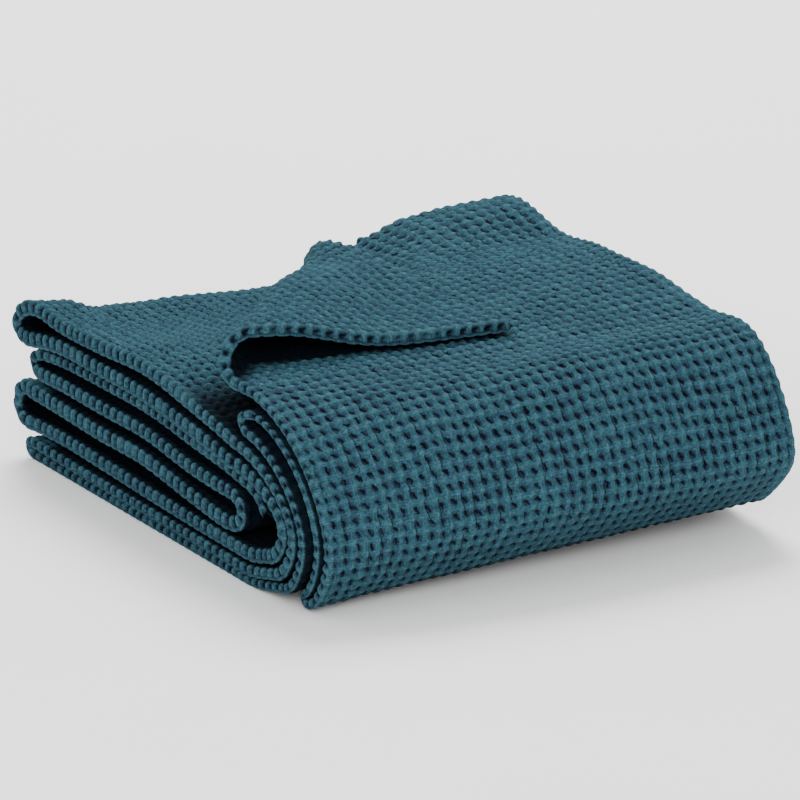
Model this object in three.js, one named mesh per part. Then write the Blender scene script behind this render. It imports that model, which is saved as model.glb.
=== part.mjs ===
// Waffle weave cotton blanket, folded back and forth into a stack, its near left corner turned back.
//
// Millimetres, +Z up. X runs across the stack from its left folds to its right ones, Y from the near
// edge of the cloth to the far one. The blanket is one woven cloth, so it is one solid: a section
// of its layers in X and Z is swept along Y, and the top layer ends in the corner that is turned back.
// The finished solid is moved so that its origin lies on the surface it rests on, under its middle.

import * as THREE from "three";

// ---- Driving sizes ---------------------------------------------------------------------------------

const DEPTH = 360;                // near edge of the layers to the far one
const FAR_SHARE = 0.3;            // how far a far rim is set back, as a share of its near rim's
const TOP_THICK = 9;              // thickness of the top layer
const END_TAPER = 9;              // length over which a free edge rounds off
const END_FULLNESS = 0.15;        // where that rounding stops, as a share of its length
const RIM = [                     // the rounding of a rim: the share of the thickness left there
  { distance: 0, full: 0.45 },
  { distance: 2, full: 0.8 },
  { distance: 6, full: 1 },
];
const SHORT_LINE = 60;            // a line shorter than this has narrower rims
const CLOTH_COLOUR = 0x2f6675;

// ---- How finely the solid is stepped ---------------------------------------------------------------

const INNER_STEPS = 10;           // from rim to rim
const FINE_STEP = 1.2;            // along the path while it is worked out
const SOFTENING = [4, 3];         // fine steps over which the path is softened, one round after another
const PATH_STEP = 42;             // longest step along a flat layer
const TURN_STEP = 24 * Math.PI / 180;   // largest turn in one step round a fold
const CURVE_STEPS = 12;           // steps of a quarter fold, and from one station to the next
const TURN_FINE_STEP = 5.2;       // round the roll of the turned corner
const TURN_COARSE_STEP = 27;      // on the part of it that lies flat
const FAN_LEFT_STEPS = 4;         // between the turn and the far left corner
const FAN_FAR_STEPS = 6;          // from there to the shoulder

// ---- Tables ----------------------------------------------------------------------------------------

// The section: each ply of the stack, in the order in which the cloth runs through them. `z` holds the
// heights of its middle at STATIONS, `left` and `right` are its ends, and `near` sets its near rim
// back from the near edge.
const STATIONS = [-140, -85, -25, 35, 80, 112];
const PLIES = [
  { name: "foot", thick: 6, near: 10, left: [165, 3], right: [168, 3], z: [] },
  { name: "pleat outside", thick: 5.5, near: 10, left: [165, 10.6], right: [167, 10.8], z: [] },
  { name: "pleat crest", thick: 7, near: 5, left: [102, 118], right: [105, 117], z: [] },
  { name: "pleat inside", thick: 8, near: 0, left: [102, 107], right: [105, 106], z: [] },
  { name: "bottom", thick: 7.5, near: 3, left: [-181, 3.6], right: [153, 11.6],
    z: [3.6, 3.6, 3.6, 3.6, 3.6, 3.6] },
  { name: "second", thick: 8.5, near: 0, left: [-181, 13.6], right: [144.5, 19.6],
    z: [13.2, 12.8, 12.6, 12.6, 12.4, 12.4] },
  { name: "upper", thick: 11, near: 0, left: [-168, 111], right: [92, 95.5],
    z: [108, 109, 112, 105, 98] },
  { name: "under", thick: 11.5, near: -2, left: [-184, 86.5], right: [90, 81.5],
    z: [93.8, 94.6, 94.6, 89.4, 84] },
  { name: "third", thick: 11, near: 2, left: [-182, 26], right: [135.5, 29.4],
    z: [27.4, 26.2, 24.4, 23.2, 22.8, 23] },
  { name: "fifth", thick: 12, near: -2, left: [-182, 51.5], right: [90, 39],
    z: [51, 49.4, 49.6, 43.2, 39] },
  { name: "fourth", thick: 11, near: 0, left: [-172, 65.6], right: [90, 60],
    z: [66.8, 66.6, 67, 61, 59.5] },
  { name: "inmost", thick: 8, near: 3, left: [-172, 78], right: [94, 70.5],
    z: [81.2, 82.4, 82.4, 77, 73] },
];

// The folds between them. `reach` and `height` are the outermost point of the cloth's middle, and
// `power` the roundness of each fold: 2 is an ellipse, less is flatter.
const SHOULDER = { x: 94, z: 130, near: 10 };   // where the top layer starts to bend into its wrap
const FOLDS = [
  { name: "outer wrap", to: "foot", side: "right", reach: 193.5, height: 47, power: 1.7 },
  { name: "foot turn", to: "pleat outside", side: "left", reach: 161.5, height: 6.6, power: 2 },
  { name: "pleat outside", to: "pleat crest", side: "right", reach: 184.8, height: 48, power: 1.69 },
  { name: "pleat turn", to: "pleat inside", side: "left", reach: 96, height: 112, power: 2 },
  { name: "pleat inside", to: "bottom", side: "right", reach: 176.6, height: 49, power: 1.69 },
  { name: "bottom fold", to: "second", side: "left", reach: -187, height: 8.6, power: 2 },
  { name: "second wrap", to: "upper", side: "right", reach: 166.6, height: 51, power: 1.72 },
  { name: "top fold", to: "under", side: "left", reach: -197.5, height: 92.5, power: 1.9 },
  { name: "third wrap", to: "third", side: "right", reach: 154.5, height: 52, power: 1.75 },
  { name: "hollow fold", to: "fifth", side: "left", reach: -198, height: 38, power: 2.3 },
  { name: "inner curl", to: "fourth", side: "right", reach: 104, height: 49.5, power: 2.2 },
  { name: "middle fold", to: "inmost", side: "left", reach: -179, height: 71.8, power: 2 },
];
const INNER_END = { x: 126, z: 52 };   // the cloth's other end, which hangs inside the third wrap

// The top layer's outline before its corner is turned back, in plan from the stack's left and near rim.
const CORNER = new THREE.Vector2(-144, -25);
const LEFT_END_OF_TURN = new THREE.Vector2(-163, 247);
const NEAR_END_OF_TURN = new THREE.Vector2(84, 10);
const FAR_LEFT = new THREE.Vector2(-157, 361);
const TURNED_EDGE_BOW = 14;       // how far the turned part's left edge draws in at its middle
const TURN_RADIUS = [             // the roll's radius, from the turn's near end to its left one
  { share: 0, radius: 14 },
  { share: 0.35, radius: 11.5 },
  { share: 0.6, radius: 9.5 },
  { share: 0.86, radius: 17 },
  { share: 1, radius: 19 },
];
const TURN_LANDING = 95;          // length in which the turned part comes down from the roll
const TURN_CLEAR = 1.2;           // space between the turned part and the layer under it

// How the stack settles, at a distance y from the near edge. `sink` is the share by which its left side
// lies lower, `swell` how far the right wraps bulge, `lift` the share by which they rise, `toe` how far
// they lift off the surface, and `topLeft` the height of the top layer's left side.
const SETTLING = [
  { y: -30, sink: 0, swell: 0, lift: 0, toe: 0, topLeft: 100 },
  { y: 0, sink: 0, swell: 0, lift: 0, toe: 1, topLeft: 100 },
  { y: 25, sink: 0.03, swell: 4, lift: 0.02, toe: 3, topLeft: 99.5 },
  { y: 55, sink: 0.12, swell: 10, lift: 0.06, toe: 6, topLeft: 99 },
  { y: 100, sink: 0.145, swell: 18, lift: 0.11, toe: 9, topLeft: 100 },
  { y: 190, sink: 0.2, swell: 25, lift: 0.16, toe: 13, topLeft: 102.5 },
  { y: 225, sink: 0.2, swell: 26, lift: 0.17, toe: 14, topLeft: 104 },
  { y: 250, sink: 0.17, swell: 26, lift: 0.17, toe: 15, topLeft: 119 },
  { y: 280, sink: 0.11, swell: 26, lift: 0.17, toe: 16, topLeft: 127 },
  { y: 310, sink: 0.08, swell: 26, lift: 0.17, toe: 17, topLeft: 129 },
  { y: 365, sink: 0.05, swell: 24, lift: 0.17, toe: 18, topLeft: 129 },
];
const SWELL_RANGE = { from: -40, to: 195 };
const SWELL_HEIGHTS = { from: 0, to: 55 };
const SWELL_AT_FLOOR = 0.3;
const TOE_RANGE = { from: 70, to: 190 };
const TOE_HEIGHTS = { from: -20, to: 75 };
const LIFT_RANGE = { from: 96, to: 160 };
const SINK_RANGE = { from: -190, to: 10 };
const TOP_LEFT_RANGE = { from: -158, to: -20 };

// Waves along the top layer's far edge, which die out towards the near edge.
const FAR_WAVE = [
  { x: -170, rise: 0 },
  { x: -130, rise: 7 },
  { x: -72, rise: -2 },
  { x: -20, rise: 3 },
  { x: 38, rise: 5 },
  { x: 94, rise: 0 },
];
const FAR_WAVE_RANGE = { from: 215, to: 355 };

// ---- Small functions -------------------------------------------------------------------------------

const { lerp, smoothstep, clamp } = THREE.MathUtils;

const ease = (value, range) => smoothstep(value, range.from, range.to);

// A value read from a table at a place between two of its rows.
function tableValue(table, key, place, column) {
  const last = table.length - 2;
  const found = table.findIndex((row, i) => i > last || place < table[i + 1][key]);
  const i = Math.min(found, last);
  const share = (place - table[i][key]) / (table[i + 1][key] - table[i][key]);
  return lerp(table[i][column], table[i + 1][column], smoothstep(share, 0, 1));
}

// A quarter of a superellipse in the section, level at `start` and upright at `tip`.
function quarter(start, tip, power) {
  return Array.from({ length: CURVE_STEPS + 1 }, (_, i) => {
    const angle = (i / CURVE_STEPS) * Math.PI / 2;
    const along = Math.sin(angle) ** (2 / power);
    const over = Math.max(Math.cos(angle), 0) ** (2 / power);
    return { x: lerp(start.x, tip.x, along), z: lerp(tip.z, start.z, over) };
  });
}

// ---- The section -----------------------------------------------------------------------------------

const plyNamed = (name) => PLIES.find((ply) => ply.name === name);

function plyEnd(name, side) {
  if (name === "shoulder") return SHOULDER;
  const [x, z] = plyNamed(name)[side];
  return { x, z };
}

// The middle of one ply, from its left end to its right one.
function plyLine(ply) {
  const inner = ply.z.map((z, i) => [STATIONS[i], z]);
  const knots = [ply.left, ...inner, ply.right].map(([x, z]) => new THREE.Vector3(x, 0, z));
  const curve = new THREE.CatmullRomCurve3(knots, false, "centripetal");
  return curve.getPoints(CURVE_STEPS * knots.length).map(({ x, z }) => ({ x, z }));
}

function foldLine(fold, from) {
  const tip = { x: fold.reach, z: fold.height };
  const onward = quarter(plyEnd(from, fold.side), tip, fold.power);
  const back = quarter(plyEnd(fold.to, fold.side), tip, fold.power).reverse();
  return [...onward, ...back.slice(1)];
}

// The whole path of the cloth's middle from the shoulder to its inner end.
function clothPath() {
  const path = [];
  const add = (points, thick, near) => points.forEach((p) => path.push({ ...p, thick, near }));
  let before = { name: "shoulder", thick: TOP_THICK, near: SHOULDER.near };
  for (const fold of FOLDS) {
    const ply = plyNamed(fold.to);
    const arc = foldLine(fold, before.name);
    add(arc, (before.thick + ply.thick) / 2, (before.near + ply.near) / 2);
    const line = plyLine(ply);
    add(fold.side === "left" ? line : line.reverse(), ply.thick, ply.near);
    before = ply;
  }
  add(quarter(plyEnd("inmost", "right"), INNER_END, 2), before.thick, before.near);
  return path;
}

// Points at even distances along a path, with its other values read in proportion.
function evenly(path, step) {
  const spaced = [path[0]];
  let behind = 0;
  for (let i = 1; i < path.length; i += 1) {
    const [a, b] = [path[i - 1], path[i]];
    const length = Math.hypot(b.x - a.x, b.z - a.z);
    for (let at = step - behind; at <= length; at += step) {
      spaced.push(between(a, b, at / length));
    }
    behind = (behind + length) % step;
  }
  return spaced;
}

function between(a, b, share) {
  return Object.fromEntries(Object.keys(a).map((key) => [key, lerp(a[key], b[key], share)]));
}

// Each point moved to the mean of its neighbours within `reach` steps: joints between arcs turn soft.
function softened(path, reach) {
  return path.map((point, i) => {
    const span = Math.min(reach, i, path.length - 1 - i);
    const near = path.slice(i - span, i + span + 1);
    const mean = (key) => near.reduce((sum, p) => sum + p[key], 0) / near.length;
    return { x: mean("x"), z: mean("z"), thick: mean("thick"), near: mean("near") };
  });
}

// The share of its thickness that the cloth has at a distance from its free end.
function endFullness(distance) {
  return Math.sqrt(1 - (1 - clamp(distance / END_TAPER, END_FULLNESS, 1)) ** 2);
}

const heading = (a, b) => Math.atan2(b.z - a.z, b.x - a.x);

// The path's points for the solid: far apart where it is flat, and close where it turns.
function sparse(path) {
  const kept = [0];
  let cost = 0;
  for (let i = 1; i < path.length - 1; i += 1) {
    const turn = heading(path[i], path[i + 1]) - heading(path[i - 1], path[i]);
    const angle = Math.abs(Math.atan2(Math.sin(turn), Math.cos(turn)));
    cost += FINE_STEP / PATH_STEP + angle / TURN_STEP;
    if (cost >= 1) {
      kept.push(i);
      cost = 0;
    }
  }
  kept.push(path.length - 1);
  return kept;
}

// The section's lines across the cloth: a point of its middle, the normal there and the thickness.
function sectionLines() {
  const path = SOFTENING.reduce(softened, evenly(clothPath(), FINE_STEP));
  const last = path.length - 1;
  return sparse(path).map((i) => {
    const [a, b] = [path[Math.max(i - 1, 0)], path[Math.min(i + 1, last)]];
    const angle = heading(a, b) + Math.PI / 2;
    const normal = { x: Math.cos(angle), z: Math.sin(angle) };
    return { ...path[i], normal, half: path[i].thick * endFullness((last - i) * FINE_STEP) / 2 };
  });
}

// ---- The shape that the stack settles into ---------------------------------------------------------

function settled(x, y, z) {
  const at = (column) => tableValue(SETTLING, "y", y, column);
  const sink = at("sink") * (1 - ease(x, SINK_RANGE));
  const lift = at("lift") * ease(x, LIFT_RANGE);
  const toe = at("toe") * ease(x, TOE_RANGE) * (1 - ease(z, TOE_HEIGHTS));
  const swell = at("swell") * ease(x, SWELL_RANGE) * lerp(SWELL_AT_FLOOR, 1, ease(z, SWELL_HEIGHTS));
  return new THREE.Vector3(x + swell, y, Math.max(z * (1 - sink + lift) + toe, 0));
}

// The height of the top layer's middle over a place in plan, left of the shoulder.
function topHeight(x, y) {
  const left = tableValue(SETTLING, "y", y, "topLeft");
  const alongEdge = clamp(x, FAR_WAVE[0].x, SHOULDER.x);
  const wave = tableValue(FAR_WAVE, "x", alongEdge, "rise") * ease(y, FAR_WAVE_RANGE);
  return lerp(left, SHOULDER.z, ease(x, TOP_LEFT_RANGE)) + wave;
}

// ---- The corner that is turned back ----------------------------------------------------------------

const turnLine = LEFT_END_OF_TURN.clone().sub(NEAR_END_OF_TURN);
const alongTurn = turnLine.clone().normalize();
const beyondTurn = new THREE.Vector2(-alongTurn.y, alongTurn.x);

// A point of the top layer, `offset` above its middle. Past the turn it goes round a roll, whose radius
// narrows from its near end to its left one, and then comes down to lie on the layer.
function topPoint(plan, offset) {
  const reach = plan.clone().sub(NEAR_END_OF_TURN);
  const beyond = Math.max(reach.dot(beyondTurn), 0);
  const share = clamp(reach.dot(alongTurn) / turnLine.length(), 0, 1);
  const radius = tableValue(TURN_RADIUS, "share", share, "radius");
  const flat = beyond - Math.PI * radius;
  const resting = TOP_THICK + TURN_CLEAR;
  let angle = beyond / radius;
  let out = radius * Math.sin(angle);
  let rise = radius * (1 - Math.cos(angle));
  if (flat > 0) {
    const down = clamp(flat / TURN_LANDING, 0, 1);
    const wave = Math.sin(2 * Math.PI * down) / (2 * Math.PI);
    rise = lerp(2 * radius, resting, down - wave);
    out = -flat;
    angle = Math.PI;
  }
  const shift = out - beyond - offset * Math.sin(angle);
  const place = plan.clone().addScaledVector(beyondTurn, shift);
  const height = topHeight(place.x, place.y) + rise + offset * Math.cos(angle);
  return new THREE.Vector3(place.x + swellAt(place), place.y, height);
}

const swellAt = (place) => tableValue(SETTLING, "y", place.y, "swell") * ease(place.x, SWELL_RANGE);

const farRim = (near) => DEPTH - near * FAR_SHARE;

// The top layer's lines, from the corner to the shoulder: first side by side with the turn, then
// fanning out until they run from the near edge to the far one.
function topLines() {
  const depth = CORNER.clone().sub(NEAR_END_OF_TURN).dot(beyondTurn);
  const widest = Math.max(...TURN_RADIUS.map((row) => row.radius));
  const places = [];
  for (let beyond = 0; beyond < depth - END_TAPER; ) {
    places.push(beyond);
    beyond += beyond < Math.PI * widest ? TURN_FINE_STEP : TURN_COARSE_STEP;
  }
  places.push(depth - END_TAPER, depth - END_TAPER / 2, depth - END_TAPER / 3);
  const turned = places.reverse().map((beyond) => {
    const share = 1 - beyond / depth;
    const bow = new THREE.Vector2(TURNED_EDGE_BOW * 4 * share * (1 - share), 0);
    return {
      near: CORNER.clone().lerp(NEAR_END_OF_TURN, share),
      far: CORNER.clone().lerp(LEFT_END_OF_TURN, share).add(bow),
      full: endFullness(depth - beyond),
    };
  });
  const nearRight = new THREE.Vector2(SHOULDER.x, SHOULDER.near);
  const farRight = new THREE.Vector2(SHOULDER.x, farRim(SHOULDER.near));
  const fan = [];
  const fanSteps = FAN_LEFT_STEPS + FAN_FAR_STEPS;
  for (let i = 1; i < fanSteps; i += 1) {
    const near = NEAR_END_OF_TURN.clone().lerp(nearRight, i / fanSteps);
    const onLeft = LEFT_END_OF_TURN.clone().lerp(FAR_LEFT, i / FAN_LEFT_STEPS);
    const onFar = FAR_LEFT.clone().lerp(farRight, (i - FAN_LEFT_STEPS) / FAN_FAR_STEPS);
    fan.push({ near, far: i < FAN_LEFT_STEPS ? onLeft : onFar, full: 1 });
  }
  return [...turned, ...fan];
}

// ---- The solid -------------------------------------------------------------------------------------

// Distances from the near rim at which a line of a given length is stepped, with its fullness there.
function acrossSteps(length) {
  const narrow = Math.min(length / SHORT_LINE, 1);
  const start = RIM.map(({ distance, full }) => ({ distance: distance * narrow, full }));
  const end = start.map(({ distance, full }) => ({ distance: length - distance, full })).reverse();
  const inner = [];
  for (let i = 1; i < INNER_STEPS; i += 1) {
    inner.push({ distance: lerp(start.at(-1).distance, end[0].distance, i / INNER_STEPS), full: 1 });
  }
  return [...start, ...inner, ...end];
}

// The points of both faces of the cloth, one row for each line.
function faceRows(side) {
  const top = topLines().map((line) => {
    const length = line.near.distanceTo(line.far);
    return acrossSteps(length).map(({ distance, full }) => {
      const plan = line.near.clone().lerp(line.far, distance / length);
      return topPoint(plan, side * full * line.full * TOP_THICK / 2);
    });
  });
  const section = sectionLines().map((line) => {
    return acrossSteps(farRim(line.near) - line.near).map(({ distance, full }) => {
      const offset = side * full * line.half;
      const x = line.x + offset * line.normal.x;
      const z = line.z + offset * line.normal.z;
      return settled(x, line.near + distance, z);
    });
  });
  return [...top, ...section];
}

function blanketGeometry() {
  const [upper, lower] = [faceRows(1), faceRows(-1)];
  const [rows, columns] = [upper.length, upper[0].length];
  const positions = [...upper.flat(), ...lower.flat()].flatMap((p) => [p.x, p.y, p.z]);
  const index = (face, row, column) => (face * rows + row) * columns + column;
  const triangles = [];
  const quad = (a, b, c, d) => triangles.push(a, b, c, a, c, d);
  for (let i = 0; i < rows - 1; i += 1) {
    for (let j = 0; j < columns - 1; j += 1) {
      quad(index(0, i, j), index(0, i + 1, j), index(0, i + 1, j + 1), index(0, i, j + 1));
      quad(index(1, i, j), index(1, i, j + 1), index(1, i + 1, j + 1), index(1, i + 1, j));
    }
    quad(index(0, i, 0), index(1, i, 0), index(1, i + 1, 0), index(0, i + 1, 0));
    const edge = columns - 1;
    quad(index(0, i, edge), index(0, i + 1, edge), index(1, i + 1, edge), index(1, i, edge));
  }
  const end = rows - 1;
  for (let j = 0; j < columns - 1; j += 1) {
    quad(index(0, 0, j), index(0, 0, j + 1), index(1, 0, j + 1), index(1, 0, j));
    quad(index(0, end, j), index(1, end, j), index(1, end, j + 1), index(0, end, j + 1));
  }
  const geometry = new THREE.BufferGeometry();
  geometry.setAttribute("position", new THREE.Float32BufferAttribute(positions, 3));
  geometry.setIndex(triangles);
  return geometry;
}

// The origin goes under the middle of the finished solid, on the surface that it rests on.
function standOnOrigin(geometry) {
  geometry.computeBoundingBox();
  const { min, max } = geometry.boundingBox;
  geometry.translate(-(min.x + max.x) / 2, -(min.y + max.y) / 2, -min.z);
  geometry.computeVertexNormals();
  return geometry;
}

const cloth = new THREE.MeshStandardMaterial({ color: CLOTH_COLOUR, roughness: 0.95, metalness: 0 });
const blanket = new THREE.Mesh(standOnOrigin(blanketGeometry()), cloth);
blanket.name = "blanket";

const part = new THREE.Group();
part.add(blanket);

export default part;
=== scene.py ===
"""Waffle weave cotton blanket, folded into a stack with the near left corner of its top layer turned back.

The cloth is one path of layers, wraps and folds in X and Z, swept along Y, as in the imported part. Here it
gets its woven relief: square hollows between crossing ridges, half a cell apart on its two faces, and a
row of yarn loops round each rim. Sizes in the tables are in millimetres, and the meshes are in metres.
"""

import math
from collections import namedtuple
from types import SimpleNamespace as Sizes

import bpy
import numpy as np
from mathutils import Euler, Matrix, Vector


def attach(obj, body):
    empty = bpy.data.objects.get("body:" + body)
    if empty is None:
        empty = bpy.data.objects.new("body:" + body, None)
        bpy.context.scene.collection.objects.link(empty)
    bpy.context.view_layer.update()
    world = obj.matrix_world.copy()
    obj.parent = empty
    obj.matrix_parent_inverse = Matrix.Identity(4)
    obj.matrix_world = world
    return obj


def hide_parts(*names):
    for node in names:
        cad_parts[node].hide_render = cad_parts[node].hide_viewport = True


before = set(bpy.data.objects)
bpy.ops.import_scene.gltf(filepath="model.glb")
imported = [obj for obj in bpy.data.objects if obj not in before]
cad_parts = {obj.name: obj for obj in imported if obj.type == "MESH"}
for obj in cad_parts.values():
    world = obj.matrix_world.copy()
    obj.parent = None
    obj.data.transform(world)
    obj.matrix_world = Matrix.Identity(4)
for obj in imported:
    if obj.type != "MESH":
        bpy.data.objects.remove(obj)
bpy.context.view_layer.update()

bl_info = {
    "name": "Waffle Weave Blanket",
    "version": (1, 0, 0),
    "blender": (4, 5, 0),
    "location": "View3D > Sidebar > Blanket",
    "description": "Builds a folded waffle weave blanket, its cloth and its stage",
    "category": "Mesh",
}

MM = 0.001

# ---- The folded shape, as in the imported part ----

DEPTH = 360  # of the stack, from its near rim to its far one
FAR_SHARE = 0.3  # how much of a ply's setback at the near rim it has at the far one
TOP_THICK = 9
ORIGIN = np.array([9.37, 179.5, 0.0])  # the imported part's origin in the tables' frame
FINE_STEP = 1.2  # between the points of the path
SOFTENING = (4, 3)  # points to each side over which the path is averaged, twice
CURVE_STEPS = 12  # points in a quarter of a fold, and for each knot of a ply

STATIONS = (-140, -85, -25, 35, 80, 112)
# A ply's thickness, setback of its near rim, its two ends in X and Z, and its height at each station
Ply = namedtuple("Ply", "thick near left right z")
PLIES = {
    "foot": Ply(6, 10, (165, 3), (168, 3), ()),
    "pleat outside": Ply(5.5, 10, (165, 10.6), (167, 10.8), ()),
    "pleat crest": Ply(7, 5, (102, 118), (105, 117), ()),
    "pleat inside": Ply(8, 0, (102, 107), (105, 106), ()),
    "bottom": Ply(7.5, 3, (-181, 3.6), (153, 11.6), (3.6,) * 6),
    "second": Ply(8.5, 0, (-181, 13.6), (144.5, 19.6), (13.2, 12.8, 12.6, 12.6, 12.4, 12.4)),
    "upper": Ply(11, 0, (-168, 111), (92, 95.5), (108, 109, 112, 105, 98)),
    "under": Ply(11.5, -2, (-184, 86.5), (90, 81.5), (93.8, 94.6, 94.6, 89.4, 84)),
    "third": Ply(11, 2, (-182, 26), (135.5, 29.4), (27.4, 26.2, 24.4, 23.2, 22.8, 23)),
    "fifth": Ply(12, -2, (-182, 51.5), (90, 39), (51, 49.4, 49.6, 43.2, 39)),
    "fourth": Ply(11, 0, (-172, 65.6), (90, 60), (66.8, 66.6, 67, 61, 59.5)),
    "inmost": Ply(8, 3, (-172, 78), (94, 70.5), (81.2, 82.4, 82.4, 77, 73)),
}
SHOULDER = Sizes(x=94, z=130, near=10)
FOLDS = (  # name, ply it leads to, reach, height and power, on the right and the left by turns
    ("outer wrap", "foot", 193.5, 47, 1.7),
    ("foot turn", "pleat outside", 161.5, 6.6, 2),
    ("pleat wrap", "pleat crest", 184.8, 48, 1.69),
    ("pleat turn", "pleat inside", 96, 112, 2),
    ("inner pleat wrap", "bottom", 176.6, 49, 1.69),
    ("bottom fold", "second", -187, 8.6, 2),
    ("second wrap", "upper", 166.6, 51, 1.72),
    ("top fold", "under", -197.5, 92.5, 1.9),
    ("third wrap", "third", 154.5, 52, 1.75),
    ("hollow fold", "fifth", -198, 38, 2.3),
    ("inner curl", "fourth", 104, 49.5, 2.2),
    ("middle fold", "inmost", -179, 71.8, 2),
)
INNER_END = (126, 52)
INNER_POWER = 2

CORNER = np.array([-144.0, -25.0])  # of the top layer seen from above, before it is turned back
LEFT_END_OF_TURN = np.array([-163.0, 247.0])
NEAR_END_OF_TURN = np.array([84.0, 10.0])
FAR_LEFT = np.array([-157.0, 361.0])
TURNED_EDGE_BOW = 14  # how far the left edge of the turned corner bows inward
TURN_RADIUS = ((0, 14), (0.35, 11.5), (0.6, 9.5), (0.86, 17), (1, 19))  # at shares of the turn's line
TURN_LANDING = 95  # length over which the corner comes down from the roll
TURN_CLEAR = 1.2  # between the corner and the cloth that it lies on

SETTLING = {  # at y from the near edge
    "y": (-30, 0, 25, 55, 100, 190, 225, 250, 280, 310, 365),
    "sink": (0, 0, 0.03, 0.12, 0.145, 0.2, 0.2, 0.17, 0.11, 0.08, 0.05),
    "swell": (0, 0, 4, 10, 18, 25, 26, 26, 26, 26, 24),
    "lift": (0, 0, 0.02, 0.06, 0.11, 0.16, 0.17, 0.17, 0.17, 0.17, 0.17),
    "toe": (0, 1, 3, 6, 9, 13, 14, 15, 16, 17, 18),
    "topLeft": (100, 100, 99.5, 99, 100, 102.5, 104, 119, 127, 129, 129),
}
SWELL_RANGE = (-40, 195)  # in X, as the other ranges are
SWELL_HEIGHTS = (0, 55)
SWELL_AT_FLOOR = 0.3
TOE_RANGE = (70, 190)
TOE_HEIGHTS = (-20, 75)
LIFT_RANGE = (96, 160)
SINK_RANGE = (-190, 10)
TOP_LEFT_RANGE = (-158, -20)
FAR_WAVE = ((-170, 0), (-130, 7), (-72, -2), (-20, 3), (38, 5), (94, 0))  # the far rim's rise at each x
FAR_WAVE_RANGE = (215, 355)  # in Y

# ---- The weave ----

ROWS = 41  # waffle cells from the near rim to the far one
SAMPLES = 7  # mesh steps in a cell
STRIPS = (2.0, 1.5)  # finely meshed cells beside the near rim and the far one, where a face is hidden
COARSE = 3  # cells between mesh lines where a face is hidden
FINE_FADE = 0.5  # cells over which the relief ends at the edge of a finely meshed strip
TINY = 1e-6

PATCH_TABLE = (97, 89)
WANDER = {  # how far the yarns stray, in cells: strength, size of a patch and seed
    "along": ((0.3, 9, 1), (0.09, 1.3, 2)),
    "across": ((0.25, 11, 3), (0.09, 1.2, 4)),
    "loops": ((0.3, 9, 1), (0.09, 0.9, 7)),
}
VARIED = {  # values that change over the cloth: middle, strength, size of a patch and seed
    "drop": (0.7, 0.2, 2.3, 9),  # from a crossing of ridges to the middle of a cell
    "hollow": (1, 0.3, 1.1, 5),
    "broken": (0, 1, 1.05, 6),
    "loop middle": (0, 0.06, 1.1, 8),
    "loop depth": (0.82, 0.4, 1.3, 10),
}
SLANT = 0.6  # how far the hollows' slits turn from the way along the cloth
HOLLOW = Sizes(depth=0.36, length=0.23, width=0.13)  # the slanted slit in a cell's middle
BROKEN = Sizes(depth=0.3, width=0.1)  # ridges that dip in places
HIDDEN_HEIGHT = 0.62  # of the weave where a face is hidden, between a hollow's 0 and a crossing's 1
HEM = (0.3, 0.9)  # cells from a rim over which the hollows reach their full depth
HEM_HEIGHT = 0.85  # of the weave at a rim
HEM_RELIEF = 0.85  # how much of the hollows' depth is left at a rim
DEEPEST = 0.72  # the deepest hollow, as a share of half the thickness

EDGE_CELLS = 0.35  # how much of a cell the rounding of a rim takes
EDGE_FADE = 0.45  # cells from there over which the loops give way to the hollows
EDGE_STEPS = (14, 8)  # round the near rim and the far one
EDGE_BLUNTNESS = 0.75  # 1 is a round rim, and less is a blunter one
LOOP_LEAN = 0.3  # how far the ends of a loop lie beyond its middle, in cells
LOOP_LEAN_GAIN = 3  # how soon a layer that isn't upright has its full lean
LOOP_MIDDLE = (0.36, 0.5)  # how far down a rim the slits' middles are, on a level layer and an upright wrap
LOOP_UPRIGHT_DEPTH = 0.8  # depth of the loops on an upright wrap, as a share of that on a level layer
LOOP_SLIT = Sizes(depth=0.85, width=0.17, height=0.2, lean=0.2)  # between two loops
LOOP_ROUND = Sizes(depth=0.45, end=(0.62, 0.78))  # the loops' fall towards it
LOOP_CORD = Sizes(depth=0.5, at=0.7, height=0.05)  # the groove above the lowest yarn
LOOP_NOTCH = Sizes(depth=0.3, width=0.1, start=(0.7, 0.95))  # in that yarn, under a slit
UPRIGHT = (0.35, 0.85)  # levelness up to which a wrap is upright, and from which a layer is level
FAR_LOOPS = 0.55  # how much flatter the loops of the far rim are
END_THINNEST = 0.1  # of half the thickness, at the cloth's two ends
END_LOOPS_DOWN = 0.4  # how far down a rim the loops are like those of the cloth's two ends

# Painted shade: the cloth's colour is darkened inside the roll, under the turned corner and between layers,
# where shade falls.
ROLL_SHADE = (-14, 8)  # how far past the turn the painted shade of the roll's inside grows dark
FLAP_SHADE = (-3, 10)  # how far in from the turned corner's edge the painted shade under it grows dark
ROLL_CLOSED = (0.6, 1.5)  # half turns of the roll at which its far end starts to get painted shade, and has all of it
RIM_SHADE = 0.86  # how dark the painted shade is on the sides of a rim, where they meet the next layer
RIM_SIDES = (0.27, 0.5)  # where they are, as shares of the way round from the rim's middle
SHADE_CELLS = 1.0  # cells from a rim over which the painted shade between two layers grows dark
SHADE_RAMP = 14  # length over which the painted shade grows dark past a fold
LONG_SHADE_RAMP = 64  # the same under the top layer, where the gap is open


def smooth(value, low, high):
    share = np.clip((value - low) / (high - low), 0, 1)
    return share * share * (3 - 2 * share)


def lerp(a, b, share):
    return a + (b - a) * share


def table_value(places, values, at):
    places, values = np.asarray(places, float), np.asarray(values, float)
    i = np.clip(np.searchsorted(places, at, side="right") - 1, 0, len(places) - 2)
    return lerp(values[i], values[i + 1], smooth(at, places[i], places[i + 1]))


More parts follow.
